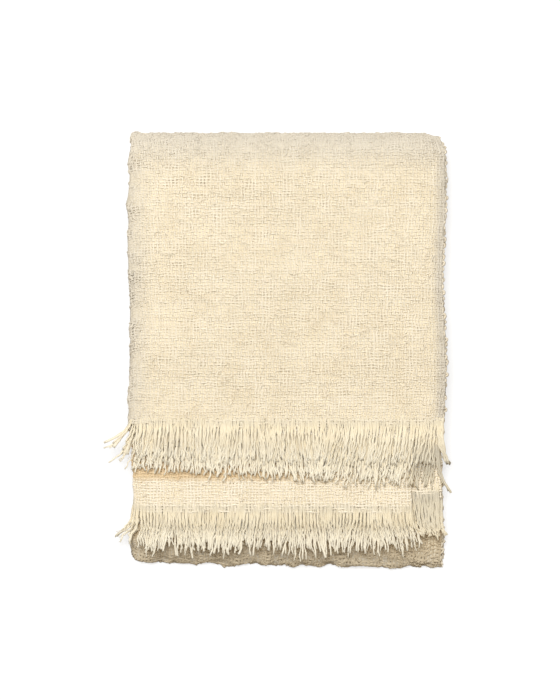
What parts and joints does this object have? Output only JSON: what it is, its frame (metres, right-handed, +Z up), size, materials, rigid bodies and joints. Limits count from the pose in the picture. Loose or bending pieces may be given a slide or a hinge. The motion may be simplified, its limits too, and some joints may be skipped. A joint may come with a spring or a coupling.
{
  "type": "folded boucle throw",
  "caption": "Woven cream boucle throw with fringed ends, folded into a flat stepped packet that lies on a shelf, bench or bed.",
  "frame": {"origin": "middle of the folded throw's underside, on the surface that it lies on", "axes": "+X across the folded throw towards its selvedges, +Y along it from the fringe towards the closed fold, +Z up"},
  "size_m": [0.3739, 0.4717, 0.0526],
  "materials": {
    "boucle_cloth": "matte uneven plain weave of looped yarn",
    "fringe_yarn": "matte loose yarn"
  },
  "bodies": {
    "root": {"throw_cloth": "boucle_cloth", "fringe_front": "fringe_yarn", "fringe_under": "fringe_yarn"}
  },
  "joints": []
}
